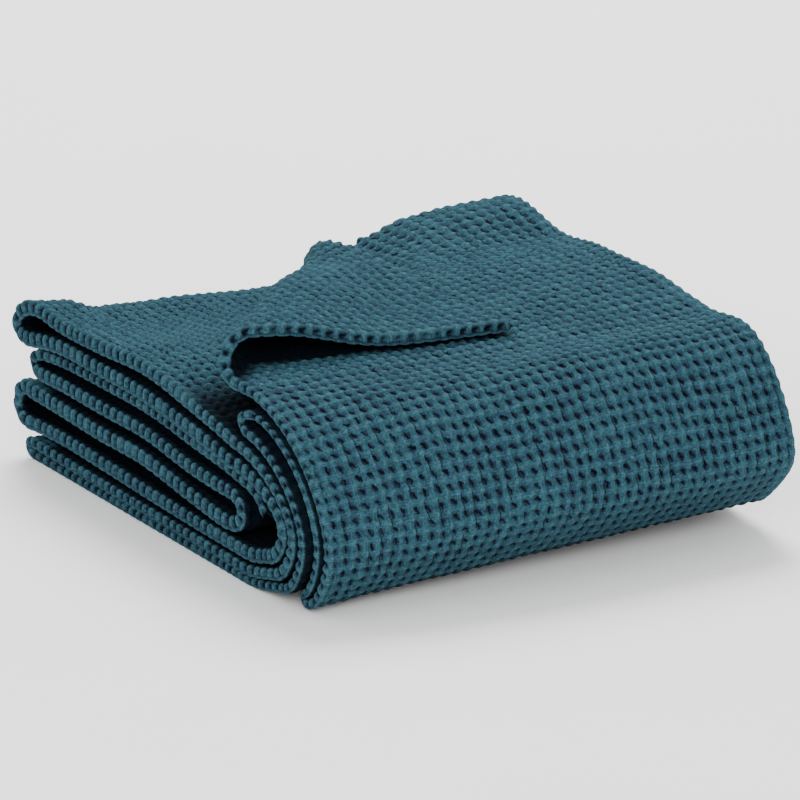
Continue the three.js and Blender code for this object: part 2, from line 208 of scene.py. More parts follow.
def patches(a, b, size, seed):
    """Soft random values from -1 to 1, one for each patch of `size` cells."""
    values = np.random.default_rng(seed).uniform(-1, 1, PATCH_TABLE)
    x, y = np.asarray(a) / size, np.asarray(b) / size
    i, j = np.floor(x).astype(int), np.floor(y).astype(int)
    s, t = smooth(x - i, 0, 1), smooth(y - j, 0, 1)
    (i, i_next), (j, j_next) = ((k % wrap, (k + 1) % wrap) for k, wrap in zip((i, j), PATCH_TABLE))
    low, high = (lerp(values[i, k], values[i_next, k], s) for k in (j, j_next))
    return lerp(low, high, t)


# ---- The path of the cloth ----


def quarter(start, tip, power):
    """A quarter of a superellipse, level at `start` and upright at `tip`."""
    angle = np.linspace(0, math.pi / 2, CURVE_STEPS + 1)
    along, over = np.sin(angle) ** (2 / power), np.clip(np.cos(angle), 0, 1) ** (2 / power)
    return np.stack([lerp(start[0], tip[0], along), lerp(tip[1], start[1], over)], axis=1)


def spline(knots, steps):
    """A centripetal curve through the knots."""
    knots = np.asarray(knots, float)
    knots = np.vstack([2 * knots[0] - knots[1], knots, 2 * knots[-1] - knots[-2]])
    points = []
    last = len(knots) - 4
    for place in np.linspace(0, last + 1, steps + 1):
        i = min(int(place), last)
        p0, p1, p2, p3 = knots[i : i + 4]
        d0, d1, d2 = (math.sqrt(np.linalg.norm(q - p)) for p, q in ((p0, p1), (p1, p2), (p2, p3)))
        t1 = ((p1 - p0) / d0 - (p2 - p0) / (d0 + d1) + (p2 - p1) / d1) * d1
        t2 = ((p2 - p1) / d1 - (p3 - p1) / (d1 + d2) + (p3 - p2) / d2) * d1
        w = place - i
        points.append(p1 + t1 * w + (3 * (p2 - p1) - 2 * t1 - t2) * w**2 + (2 * (p1 - p2) + t1 + t2) * w**3)
    return np.array(points)


def ply_line(ply):
    knots = [ply.left, *zip(STATIONS, ply.z), ply.right]
    return spline(knots, CURVE_STEPS * len(knots))


def softened(path, reach):
    last = len(path) - 1
    total = np.vstack([np.zeros(path.shape[1]), np.cumsum(path, axis=0)])
    i = np.arange(last + 1)
    span = np.minimum(reach, np.minimum(i, last - i))
    return (total[i + span + 1] - total[i - span]) / (2 * span + 1)[:, None]


class ClothPath:
    """The middle of the cloth from the shoulder to its inner end, and where each fold and ply starts."""

    def __init__(self):
        rows, marks = [], []
        ply, before = Ply(TOP_THICK, SHOULDER.near, None, None, None), (SHOULDER.x, SHOULDER.z)
        for number, (name, leads_to, reach, height, power) in enumerate(FOLDS):
            onto, tip = PLIES[leads_to], (reach, height)
            start, end, step = (onto.left, onto.right, 1) if number % 2 else (onto.right, onto.left, -1)
            marks.append((name, len(rows)))
            arc = np.vstack([quarter(before, tip, power), quarter(start, tip, power)[::-1][1:]])
            rows += [[*p, (ply.thick + onto.thick) / 2, (ply.near + onto.near) / 2] for p in arc]
            marks.append((leads_to, len(rows)))
            rows += [[*p, onto.thick, onto.near] for p in ply_line(onto)[::step]]
            before, ply = end, onto
        marks.append(("inner end", len(rows)))
        rows += [[*p, ply.thick, ply.near] for p in quarter(before, INNER_END, INNER_POWER)]
        raw = np.array(rows, float)
        length = np.concatenate([[0], np.cumsum(np.hypot(*np.diff(raw[:, :2], axis=0).T))])
        at = np.arange(0, length[-1], FINE_STEP)
        even = np.stack([np.interp(at, length, raw[:, k]) for k in range(4)], axis=1)
        for reach in SOFTENING:
            even = softened(even, reach)
        self.marks = {name: length[i] for name, i in marks}
        self.at, (self.x, self.z, self.thick, self.near) = at, even.T
        index = np.arange(len(at))
        ahead, behind = np.minimum(index + 1, index[-1]), np.maximum(index - 1, 0)
        self.heading = np.unwrap(np.arctan2(self.z[ahead] - self.z[behind], self.x[ahead] - self.x[behind]))
        self.end = at[-1]

    def read(self, at):
        """X, Z, thickness, setback of the near rim and heading at places along the path."""
        return [np.interp(at, self.at, v) for v in (self.x, self.z, self.thick, self.near, self.heading)]


PATH = ClothPath()


def settling(name, y):
    return table_value(SETTLING["y"], SETTLING[name], y)


def settled(x, y, z):
    """Where a point of the plain section comes to lie when the stack settles."""
    sink = settling("sink", y) * (1 - smooth(x, *SINK_RANGE))
    lift = settling("lift", y) * smooth(x, *LIFT_RANGE)
    toe = settling("toe", y) * smooth(x, *TOE_RANGE) * (1 - smooth(z, *TOE_HEIGHTS))
    swell = settling("swell", y) * smooth(x, *SWELL_RANGE)
    swell *= lerp(SWELL_AT_FLOOR, 1, smooth(z, *SWELL_HEIGHTS))
    return np.stack([x + swell, y, np.maximum(z * (1 - sink + lift) + toe, 0)], axis=-1)


def top_height(x, y):
    left = settling("topLeft", y)
    places, rises = zip(*FAR_WAVE)
    wave = table_value(places, rises, np.clip(x, places[0], SHOULDER.x)) * smooth(y, *FAR_WAVE_RANGE)
    return lerp(left, SHOULDER.z, smooth(x, *TOP_LEFT_RANGE)) + wave


def apart(one, other):
    return float(np.linalg.norm(other - one))


TURN_LENGTH = apart(NEAR_END_OF_TURN, LEFT_END_OF_TURN)
ALONG_TURN = (LEFT_END_OF_TURN - NEAR_END_OF_TURN) / TURN_LENGTH
BEYOND_TURN = np.array([-ALONG_TURN[1], ALONG_TURN[0]])
CORNER_SHARE = float((CORNER - NEAR_END_OF_TURN) @ ALONG_TURN / TURN_LENGTH)
CORNER_BEYOND = float((CORNER - NEAR_END_OF_TURN) @ BEYOND_TURN)


def turn_place(plan):
    """How far a place of the top layer lies beyond the turn, its share of the turn's line, and the radius."""
    reach = plan - NEAR_END_OF_TURN
    share = np.clip(reach @ ALONG_TURN / TURN_LENGTH, 0, 1)
    return reach @ BEYOND_TURN, share, table_value(*zip(*TURN_RADIUS), share)


def top_point(plan, offset):
    """A point of the top layer, `offset` above its middle, with its corner rolled back past the turn."""
    beyond, _, radius = turn_place(plan)
    beyond = np.maximum(beyond, 0)
    flat = beyond - math.pi * radius
    angle = np.where(flat > 0, math.pi, beyond / radius)
    down = np.clip(flat / TURN_LANDING, 0, 1)
    landed = lerp(2 * radius, TOP_THICK + TURN_CLEAR, down - np.sin(2 * math.pi * down) / (2 * math.pi))
    rise = np.where(flat > 0, landed, radius * (1 - np.cos(angle)))
    out = np.where(flat > 0, -flat, radius * np.sin(angle))
    place = plan + (out - beyond - offset * np.sin(angle))[..., None] * BEYOND_TURN
    x, y = place[..., 0], place[..., 1]
    swell = settling("swell", y) * smooth(x, *SWELL_RANGE)
    return np.stack([x + swell, y, top_height(x, y) + rise + offset * np.cos(angle)], axis=-1)


def polyline(points, share):
    """A point at a share of the length of a line through a few points."""
    points = np.asarray(points, float)
    length = np.concatenate([[0], np.cumsum(np.linalg.norm(np.diff(points, axis=0), axis=1))])
    return np.stack([np.interp(share, length / length[-1], points[:, k]) for k in (0, 1)], axis=-1)


NEAR_RIGHT = np.array([SHOULDER.x, SHOULDER.near])
FAR_RIGHT = np.array([SHOULDER.x, DEPTH - SHOULDER.near * FAR_SHARE])
TOP_LENGTH = apart(CORNER, NEAR_END_OF_TURN) + apart(NEAR_END_OF_TURN, NEAR_RIGHT)
LEFT_BEND = apart(CORNER, LEFT_END_OF_TURN)
LEFT_BEND /= LEFT_BEND + apart(LEFT_END_OF_TURN, FAR_LEFT)


def top_plan(t, w):
    """The top layer before its corner is turned back: t along the cloth, and w from near rim to far one."""
    u, w = np.broadcast_arrays(np.clip(1 + t / TOP_LENGTH, 0, 1), w)
    near = polyline([CORNER, NEAR_END_OF_TURN, NEAR_RIGHT], u)
    left = polyline([CORNER, LEFT_END_OF_TURN, FAR_LEFT], w)
    bend = np.clip(w / LEFT_BEND, 0, 1)
    left[..., 0] += TURNED_EDGE_BOW * 4 * bend * (1 - bend)
    u, w = u[..., None], w[..., None]
    far, right = lerp(FAR_LEFT, FAR_RIGHT, u), lerp(NEAR_RIGHT, FAR_RIGHT, w)
    return lerp(near, far, w) + lerp(left, right, u) - lerp(lerp(CORNER, NEAR_RIGHT, u), far, w)


def cloth_point(t, w, offset):
    """A point of the cloth: t runs along it, negative on the top layer, and w from near rim to far one."""
    t, w, offset = np.broadcast_arrays(t, w, offset)
    points = np.empty(t.shape + (3,))
    top = t < 0
    points[top] = top_point(top_plan(t[top], w[top]), offset[top])
    x, z, _, near, heading = PATH.read(t[~top])
    y, offset = lerp(near, DEPTH - near * FAR_SHARE, w[~top]), offset[~top]
    points[~top] = settled(x - offset * np.sin(heading), y, z + offset * np.cos(heading))
    return points - ORIGIN


# ---- Relief ----


def wander(name, a, b):
    return sum(strength * patches(a, b, size, seed) for strength, size, seed in WANDER[name])


def varied(name, a, b):
    middle, strength, size, seed = VARIED[name]
    return middle + strength * patches(a, b, size, seed)


def bell(distance, width):
    return np.exp(-(distance**2) / (2 * width**2))


def from_middle(place):
    """How far a place lies from the middle of its cell."""
    return place - np.floor(place) - 0.5


def strayed(a, b):
    """A place in cells, moved a little as the yarns wander."""
    a = a + wander("along", a, b)
    return a, b + wander("across", a, b)


def relief(a, b):
    """The height of the weave at a strayed place: from 0 in a hollow to 1 on a crossing of ridges."""
    p, q = from_middle(a), from_middle(b)
    crossing_share = (np.sin(math.pi * p) ** 2 + np.sin(math.pi * q) ** 2) / 2
    r, s = p * math.cos(SLANT) + q * math.sin(SLANT), q * math.cos(SLANT) - p * math.sin(SLANT)
    hollow = varied("hollow", a, b) * bell(r, HOLLOW.length) * bell(s, HOLLOW.width)
    broken = np.maximum(varied("broken", a, b), 0) * bell(p, BROKEN.width) * np.sin(math.pi * q) ** 2
    sunk = varied("drop", a, b) * (1 - crossing_share)
    return np.clip(1 - sunk - HOLLOW.depth * hollow - BROKEN.depth * broken, 0, 1)


def loops(a, b, down, upright):
    """The height of the loops round a rim: `down` goes from 0 at its upper side to 1 at its lower one, and
    `upright` from 0 on a level layer to 1 on an upright wrap."""
    a = a + wander("loops", a, b)
    p = from_middle(a)
    below = down - (lerp(*LOOP_MIDDLE, upright) + varied("loop middle", a, b))
    level = 1 - upright
    slit = LOOP_SLIT.depth * bell(p - LOOP_SLIT.lean * below, LOOP_SLIT.width) * bell(below, LOOP_SLIT.height)
    bulge = LOOP_ROUND.depth * np.cos(math.pi * p) ** 2 * (1 - smooth(down, *LOOP_ROUND.end))
    cord = LOOP_CORD.depth * bell(down - LOOP_CORD.at, LOOP_CORD.height)
    notch = LOOP_NOTCH.depth * bell(p, LOOP_NOTCH.width) * smooth(down, *LOOP_NOTCH.start)
    depth = lerp(LOOP_UPRIGHT_DEPTH, 1, level) * varied("loop depth", a, b)
    return np.clip(1 - depth * (slit + bulge) - level * (cord + notch), 0, 1)


# ---- Meshes ----

Section = namedtuple("Section", "place share side turn fine face")
Span = namedtuple("Span", "start end upper_seen lower_seen ramp")


def face_places(fine):
    """Places in cells from near rim to far one: close together in the fine ranges, and far apart else."""
    fine = [(0, STRIPS[0]), *fine, (ROWS - STRIPS[1], ROWS)]
    places, at = [], EDGE_CELLS
    while at < ROWS - EDGE_CELLS - TINY:
        places.append(at)
        near = any(low - TINY <= at < high - TINY for low, high in fine)
        nearest = min([low for low, _ in fine if low > at + TINY], default=ROWS)
        at += 1 / SAMPLES if near else min(COARSE, max(nearest - at, 1 / SAMPLES))
    places = np.array([*places, ROWS - EDGE_CELLS])
    fineness = np.zeros(len(places))
    for low, high in fine:
        from_low = places - low if low > 0 else np.inf
        from_high = high - places if high < ROWS else np.inf
        fineness = np.maximum(fineness, np.clip(np.minimum(from_low, from_high) / FINE_FADE, 0, 1))
    return places, fineness


def rounding(steps):
    """Points round a rim: distance in from it, share of half the thickness, and share of the way round."""
    turn = np.linspace(0, math.pi, steps + 1)[1:-1]
    share = np.sign(np.cos(turn)) * np.abs(np.cos(turn)) ** EDGE_BLUNTNESS
    return list(zip(EDGE_CELLS * (1 - np.sin(turn) ** EDGE_BLUNTNESS), share, turn / math.pi))


def ring(fine_upper, fine_lower):
    """One section across the cloth. For each point it has the place in cells, the share of half the
    thickness, the rim's side, the share of the way round the rim from its upper side, how finely the face is
    meshed, and which face it is on, with 0 on a rim."""
    upper, lower = (list(zip(*face_places(fine))) for fine in (fine_upper, fine_lower))
    near_rim, far_rim = (rounding(steps) for steps in EDGE_STEPS)
    rows = [(b, 1, 0, 0, fine, 1) for b, fine in upper]
    rows += [(ROWS - b, share, 1, turn, 1, 0) for b, share, turn in far_rim]
    rows += [(b, -1, 0, 1, fine, -1) for b, fine in lower[::-1]]
    rows += [(b, share, -1, turn, 1, 0) for b, share, turn in near_rim[::-1]]
    return Section(*np.array(rows).T)


def roll_shade(t, w):
    """How much painted shade a place of the top layer's upper face gets inside the roll or under the turned
    corner.
    """
    beyond, share, radius = turn_place(top_plan(t, w))
    depth = CORNER_BEYOND * np.minimum(share / CORNER_SHARE, (1 - share) / (1 - CORNER_SHARE))
    under = depth - math.pi * radius + beyond
    closed = np.where(share > CORNER_SHARE, smooth(depth / (math.pi * radius), *ROLL_CLOSED), 1)
    return np.where(t < 0, np.maximum(smooth(beyond, *ROLL_SHADE), smooth(under, *FLAP_SHADE)) * closed, 0)


def levelness(t, b):
    """How level the cloth lies at a place: 1 with its upper face up, -1 with that face down, 0 upright."""
    beyond, _, radius = turn_place(top_plan(t, np.clip(b / ROWS, 0, 1)))
    rolled = np.clip(beyond / radius, 0, math.pi)
    return np.cos(np.where(t < 0, rolled, PATH.read(np.maximum(t, 0))[4]))


def shade_between(t, section, span):
    """How far a place lies in the painted shade between two layers, from 0 to 1."""
    on_rim, inward = section.face == 0, np.minimum(section.place, ROWS - section.place)
    ramp = smooth(np.minimum(t - span.start, span.end - t), 0, span.ramp)
    upper_side = np.where(on_rim, section.turn < 0.5, section.face > 0)
    seen = np.where(upper_side, span.upper_seen, span.lower_seen)
    on_face = lerp(RIM_SHADE, 1, smooth(inward, EDGE_CELLS, EDGE_CELLS + SHADE_CELLS))
    depth = np.where(on_rim, RIM_SHADE * smooth(np.abs(section.turn - 0.5), *RIM_SIDES), on_face)
    return np.maximum(1 - seen * ramp, roll_shade(t, section.place / ROWS) * upper_side) * depth


def cloth_lines(t, section, weave, span):
    """The points of the cloth on each line t, with their place in the weave, its height, rim and painted
    shade.
    """
    b, share = section.place, section.share
    to_end = np.minimum(t + TOP_LENGTH, PATH.end - t)
    edge = np.clip(to_end / weave["end_round"], 0, 1)
    full = np.where(t < 0, TOP_THICK, PATH.read(np.maximum(t, 0))[2]) / 2
    full *= np.maximum(np.sqrt(1 - (1 - edge) ** 2), END_THINNEST)
    t, full, to_end = t[:, None], full[:, None], to_end[:, None]
    a, bb = np.broadcast_arrays(t / weave["along"], b)
    inward = np.minimum(b, ROWS - b)
    rim = 1 - smooth(inward, EDGE_CELLS, EDGE_CELLS + EDGE_FADE)
    shift = np.where(section.face < 0, 0.5, 0)
    woven_a, woven_b = strayed(a + shift, bb + shift)
    height = lerp(HEM_HEIGHT, relief(woven_a, woven_b), lerp(HEM_RELIEF, 1, smooth(inward, *HEM)))
    height = lerp(HIDDEN_HEIGHT, height, section.fine)
    level = levelness(t, b)
    down = np.where(level > 0, section.turn, 1 - section.turn)
    lean = LOOP_LEAN * (2 * down - 1) ** 2 * np.clip(LOOP_LEAN_GAIN * level, -1, 1)
    looped = loops(a - lean, bb, down, 1 - smooth(np.abs(level), *UPRIGHT))
    height = lerp(height, lerp(looped, 1, np.where(b > ROWS / 2, FAR_LOOPS, 0)), rim)
    cut = np.minimum(weave["depth"], DEEPEST * full) * (1 - height)
    place = b / ROWS - cut * np.sqrt(np.clip(1 - np.abs(share), 0, 1)) * section.side / DEPTH
    by_end = 1 - smooth(to_end, 0, weave["end_round"])
    end_cut = by_end * (1 - loops(bb, a, END_LOOPS_DOWN, 0)) * weave["depth"]
    toward = np.where(t < PATH.end / 2, 1, -1) * end_cut
    points = cloth_point(t + toward, np.clip(place, 0, 1), full * share - cut * share)
    columns = np.broadcast_arrays(woven_a, woven_b, height, rim, shade_between(t, section, span))
    return points, np.stack(columns, axis=-1)


def grid_normals(points):
    along = np.gradient(points, axis=0)
    wrapped = np.concatenate([points[:, -1:], points, points[:, :1]], axis=1)
    normal = np.cross(wrapped[:, 2:] - wrapped[:, :-2], along)
    return normal / np.maximum(np.linalg.norm(normal, axis=2, keepdims=True), TINY**2)


def cap(section, first):
    """Faces that close an end, between the upper face's places and the lower one's."""
    upper, lower = np.flatnonzero(section.face > 0), np.flatnonzero(section.face < 0)[::-1]
    far, near = np.flatnonzero(section.side > 0), np.flatnonzero(section.side < 0)[::-1]
    half, far_half = len(near) // 2, len(far) // 2
    one = [*near[:half][::-1], *upper, *far[:far_half]]
    two = [*near[half:], *lower, *far[far_half:][::-1]]
    steps = sorted([(section.place[k], 0) for k in one[1:]] + [(section.place[k], 1) for k in two[1:]])
    faces, i, j = [], 0, 0
    for _, on_two in steps:
        faces.append((one[i], two[j + 1] if on_two else one[i + 1], two[j]))
        i, j = i + 1 - on_two, j + on_two
    return np.array(faces if first else [f[::-1] for f in faces])


class ClothMesh:
    """Spans of the cloth gathered into one mesh."""

    def __init__(self, weave):
        self.weave, self.points, self.normals, self.info, self.quads, self.tris = weave, [], [], [], [], []
        self.count, self.length = 0, 0.0

    def span(self, start, end, fine_upper=(), fine_lower=(), joins=(0, 0), ramp=SHADE_RAMP):
        """Add a run of the cloth. A face with fine ranges is seen, and where a run joins the next one that is
        seen too, it gets no painted shade towards its end."""
        t = np.linspace(start, end, max(2, round((end - start) / (self.weave["along"] / SAMPLES))) + 1)
        step = t[1] - t[0]
        before = [] if start <= -TOP_LENGTH + TINY else [start - step]
        after = [] if end >= PATH.end - TINY else [end + step]
        section = ring(fine_upper, fine_lower)
        reach = [start - PATH.end * joins[0], end + PATH.end * joins[1]]
        span = Span(*reach, len(fine_upper) > 0, len(fine_lower) > 0, ramp)
        points, info = cloth_lines(np.concatenate([before, t, after]), section, self.weave, span)
        keep = slice(len(before), len(before) + len(t))
        normals, points, info = grid_normals(points)[keep], points[keep], info[keep]
        rows, columns = points.shape[:2]
        i, j = np.meshgrid(np.arange(rows - 1) * columns, np.arange(columns), indexing="ij")
        k, after_i = (j + 1) % columns, i + columns
        quads = np.stack([i + j, i + k, after_i + k, after_i + j], axis=-1)
        self.quads.append(quads.reshape(-1, 4) + self.count)
        self.tris.append(cap(section, True) + self.count)
        self.tris.append(cap(section, False) + self.count + (rows - 1) * columns)
        for gathered, new in ((self.points, points), (self.normals, normals), (self.info, info)):
            gathered.append(new.reshape(rows * columns, -1))
        self.count += rows * columns
        self.length += end - start

    def build(self, name):
        points, info = np.concatenate(self.points) * MM, np.concatenate(self.info).astype(np.float32)
        quads, tris = np.concatenate(self.quads), np.concatenate(self.tris)
        mesh = bpy.data.meshes.new(name)
        mesh.vertices.add(len(points))
        mesh.vertices.foreach_set("co", points.astype(np.float32).ravel())
        corners = np.concatenate([quads.ravel(), tris.ravel()]).astype(np.int32)
        sizes = np.concatenate([np.full(len(quads), 4), np.full(len(tris), 3)])
        mesh.loops.add(len(corners))
        mesh.loops.foreach_set("vertex_index", corners)
        mesh.polygons.add(len(sizes))
        mesh.polygons.foreach_set("loop_start", (np.cumsum(sizes) - sizes).astype(np.int32))
        mesh.polygons.foreach_set("use_smooth", np.ones(len(sizes), bool))
        mesh.update(calc_edges=True)
        mesh.validate()
        weave = mesh.attributes.new("weave", "FLOAT_VECTOR", "POINT")
        weave.data.foreach_set("vector", info[:, :3].ravel())
        for attribute, column in (("rim", 3), ("shade", 4)):
            mesh.attributes.new(attribute, "FLOAT", "POINT").data.foreach_set("value", info[:, column].copy())
        mesh.normals_split_custom_set_from_vertices(np.concatenate(self.normals).astype(np.float32))
        return added(name, mesh)


def added(name, data):
    """A new object in the scene."""
    made = bpy.data.objects.new(name, data)
    bpy.context.scene.collection.objects.link(made)
    return made


# ---- Materials ----

NOISES = {  # scale, detail and roughness
    "wobble": (90, 2, 0.5),
    "tone": (150, 3, 0.6),
    "slit along": (330, 2, 0.6),
    "slit across": (390, 2, 0.6),
    "lint": (420, 2, 0.6),
    "fibre": (560, 3, 0.7),
    "fuzz": (1400, 3, 0.65),
    "floor": (6, 3, 0.5),
}
TONE = (0.3, 0.7)  # of its noise, from the darker cloth to the paler one
WOBBLE = 0.16  # how far the yarns wobble, in cells
TURN_OF_YARNS = (-0.35, 0.35)  # where the yarns of one ridge give way to those across it
SURFACE = Sizes(yarn=0.5, fuzz=0.7, lint=1.1)  # shares in the bump
FACE_RELIEF = (0.0, 0.68)  # height of the weave over which the painted shade of a hollow gives way to the open colour, on a face
RIM_RELIEF = (0.0, 0.75)  # the same on a rim
RIM_HOLES = 0.85  # how dark the painted shade in the loops' holes is
SLIT_DARK = 0.95  # and the painted shade in the slits in the hollows
OPEN_LIGHT = (0.0, 1.0, 1.0, 0.02)  # from open cloth to the painted shade between layers, and the share of light left in it
FIBRES = (0.48, 0.72, 0.0)  # of their noise, and none below it
KNOB_HIGHLIGHT = (0.72, 0.98, 0.0)  # height of the weave over which the painted highlight on a knob grows, and none below it
THREAD = (0.0, 0.45, 0.76, 1.0)  # from the gap between two yarns to a yarn, and their tones
LINT = (0.3, 0.6, 0.6, 1.05)  # of its noise, and its tones
PULLED = Sizes(  # yarns in a cell's length, share left out, place and drift across the cell
    per_cell=0.7, left_out=0.66, place=0.22, drift=0.14, side=(0.025, 0.085), ends=0.2, dark=0.75
)
SLIT = Sizes(  # in cells, but `turn`, which is in radians, and `varies`, a share of its dark
    waver=0.5, stray=0.16, turn=0.9, bend=1.6, shift=-0.04, side=(0.05, 0.12), end=(0.22, 0.36), varies=0.25
)
SPECULAR = 0.05
SHEEN_ROUGHNESS = 0.55
FLOOR = Sizes(dark=0.985, roughness=0.7, specular=0.2, sides=96)


class Nodes:
    """Short calls for one material's nodes."""

    def __init__(self, material):
        material.use_nodes = True
        self.tree = material.node_tree
        self.tree.nodes.clear()
        self.place = self.node("ShaderNodeTexCoord", {})["Object"]

    def node(self, kind, inputs, **settings):
        """The outputs of a new node. Each of its inputs named is linked to a socket, or set to a value."""
        made = self.tree.nodes.new(kind)
        for name, value in settings.items():
            setattr(made, name, value)
        for key, value in inputs.items():
            socket = made.inputs[key]
            if isinstance(value, bpy.types.NodeSocket):
                self.tree.links.new(value, socket)
            else:
                socket.default_value = (*value[:3], 1) if socket.type == "RGBA" else value
        return made.outputs

    def number(self, operation, *values):
        return self.node("ShaderNodeMath", dict(enumerate(values)), operation=operation)[0]

    def plus(self, first, second):
        return self.number("ADD", first, second)

    def minus(self, first, second):
        return self.number("SUBTRACT", first, second)

    def times(self, first, *others):
        for other in others:
            first = self.number("MULTIPLY", first, other)
        return first

    def linear(self, value, slope, start):
        return self.number("MULTIPLY_ADD", value, slope, start)

    def about(self, value, spread, middle=0.0):
        """A value from 0 to 1, spread about a middle."""
        return self.linear(value, spread, middle - spread / 2)

    def ranged(self, value, low, high, to_low=0.0, to_high=1.0):
        inputs = dict(enumerate((value, low, high, to_low, to_high)))
        return self.node("ShaderNodeMapRange", inputs, interpolation_type="SMOOTHSTEP")[0]

    def falling(self, value, low, high):
        return self.ranged(value, low, high, 1.0, 0.0)

    def mixed(self, factor, first, second, blend="MIX"):
        inputs = {0: factor, 6: first, 7: second}
        return self.node("ShaderNodeMix", inputs, data_type="RGBA", blend_type=blend)[2]

    def noise(self, name):
        inputs = dict(zip(("Vector", "Scale", "Detail", "Roughness"), (self.place, *NOISES[name])))
        return self.node("ShaderNodeTexNoise", inputs)["Fac"]

    def attribute(self, name, output="Fac"):
        return self.node("ShaderNodeAttribute", {}, attribute_type="GEOMETRY", attribute_name=name)[output]

    def chance(self, along, across):
        """A random value and colour for each cell."""
        inputs = {0: self.number("FLOOR", along), 1: self.number("FLOOR", across)}
        cell = self.node("ShaderNodeCombineXYZ", inputs)[0]
        return self.node("ShaderNodeTexWhiteNoise", {"Vector": cell}, noise_dimensions="2D")

    def surface(self, inputs):
        shader = self.node("ShaderNodeBsdfPrincipled", inputs)[0]
        self.node("ShaderNodeOutputMaterial", {0: shader})


def pulled_yarns(n, along, across, on_face):
    """Thin dark gaps beside single yarns that run along the cloth, 1 in a gap and 0 elsewhere."""
    length = n.times(along, PULLED.per_cell)
    share = n.number("FRACT", length)
    chosen = n.number("GREATER_THAN", n.chance(length, across)["Value"], PULLED.left_out)
    middle = n.linear(share, PULLED.drift, PULLED.place)
    gap = n.falling(n.number("ABSOLUTE", n.minus(n.number("FRACT", across), middle)), *PULLED.side)
    ends = n.times(n.ranged(share, 0.0, PULLED.ends), n.falling(share, 1 - PULLED.ends, 1.0))
    return n.times(gap, ends, chosen, PULLED.dark, on_face)


def slits(n, along, across, on_face):
    """A slanted slit deep in each hollow, painted dark as shade and also sunk in the bump, 1 in the slit and
    0 elsewhere.
    """
    random = n.node("ShaderNodeSeparateColor", {0: n.chance(along, across)["Color"]})

    def beside(value, noise, stray):
        waver = n.about(n.noise(noise), SLIT.waver, -0.5)
        return n.plus(n.plus(n.number("FRACT", value), waver), n.about(stray, SLIT.stray))

    p, q = beside(along, "slit along", random[0]), beside(across, "slit across", random[1])
    angle = n.about(random[2], SLIT.turn, SLANT)
    cos, sin = n.number("COSINE", angle), n.number("SINE", angle)
    u = n.plus(n.times(p, cos), n.times(q, sin))
    v = n.minus(n.times(q, cos), n.times(p, sin))
    bent = n.number("ABSOLUTE", n.plus(v, n.linear(n.times(u, u), SLIT.bend, SLIT.shift)))
    slit = n.times(n.falling(bent, *SLIT.side), n.falling(n.number("ABSOLUTE", u), *SLIT.end))
    return n.times(slit, n.linear(random[0], SLIT.varies, 1 - SLIT.varies), on_face)


def cotton(finish):
    """The cotton cloth: yarns over the woven relief, with painted shade in its hollows and between its
    layers, painted highlights on its knobs, and loose fibres on top.
    """
    known = bpy.data.materials.get("waffle_cotton")
    if known:
        return known
    material = bpy.data.materials.new("waffle_cotton")
    n = Nodes(material)
    along, across, height = n.node("ShaderNodeSeparateXYZ", {0: n.attribute("weave", "Vector")})
    rim = n.attribute("rim")
    on_face = n.minus(1.0, rim)

    wobble = n.about(n.noise("wobble"), WOBBLE)
    lines = []  # yarns that run along the cloth and across it, and the ridges that carry them
    for value in (across, along):
        yarn = n.number("SINE", n.times(n.plus(value, wobble), finish.yarns * 2 * math.pi))
        lines.append((yarn, n.number("COSINE", n.times(value, 2 * math.pi))))
    which = n.times(n.ranged(n.minus(lines[0][1], lines[1][1]), *TURN_OF_YARNS), on_face)
    yarn = n.plus(n.times(lines[0][0], which), n.times(lines[1][0], n.minus(1.0, which)))
    yarn = n.linear(yarn, 0.5, 0.5)
    fuzz, lint = n.noise("fuzz"), n.noise("lint")
    slit = slits(n, along, across, on_face)
    rough = n.linear(fuzz, SURFACE.fuzz, n.times(lint, SURFACE.lint))
    rough = n.minus(n.linear(yarn, SURFACE.yarn, rough), slit)
    inputs = {"Strength": finish.yarn_strength, "Distance": finish.yarn_height, "Height": rough}
    bump = n.node("ShaderNodeBump", inputs)[0]

    worn = n.mixed(n.ranged(n.noise("tone"), *TONE), finish.cloth_dark, finish.cloth)
    # Painted shade: the colour darkens where the weave is low, and goes near black in the loops' holes, in
    # the slits and where the cloth lies between layers or under the roll.
    raised = n.linear(n.ranged(height, *RIM_RELIEF), rim, n.times(n.ranged(height, *FACE_RELIEF), on_face))
    holes = n.times(n.minus(1.0, raised), rim, RIM_HOLES)
    dark = n.number("MAXIMUM", n.times(slit, SLIT_DARK), holes)
    light = n.times(n.ranged(n.attribute("shade"), *OPEN_LIGHT), n.minus(1.0, dark))
    deep = n.mixed(light, finish.hollow, n.mixed(raised, finish.hollow_shade, worn))
    # Pale fibre colour: loose fibres at random, and a painted highlight on the knobs of the weave, both on
    # the raised, unshaded cloth only.
    fibre = n.ranged(n.noise("fibre"), *FIBRES, finish.fibre_share)
    fibre = n.plus(fibre, n.ranged(height, *KNOB_HIGHLIGHT, finish.knob_highlight))
    lit = n.mixed(n.times(fibre, n.times(raised, light)), deep, finish.fibre)
    thread = n.times(n.ranged(yarn, *THREAD), n.minus(1.0, pulled_yarns(n, along, across, on_face)))
    thread = n.times(thread, n.ranged(lint, *LINT))
    grey = n.node("ShaderNodeCombineColor", dict.fromkeys(range(3), thread))[0]

    inputs = {
        "Base Color": n.mixed(1.0, lit, grey, "MULTIPLY"),
        "Roughness": finish.roughness,
        "Specular IOR Level": SPECULAR,
        "Sheen Weight": finish.sheen,
        "Sheen Roughness": SHEEN_ROUGHNESS,
        "Sheen Tint": finish.fibre,
        "Normal": bump,
    }
    n.surface(inputs)
    return material


# ---- Sizes and colours ----


def colour(name, description, default):
    return bpy.props.FloatVectorProperty(
        name=name, description=description, default=default, size=3, min=0, max=1, subtype="COLOR"
    )


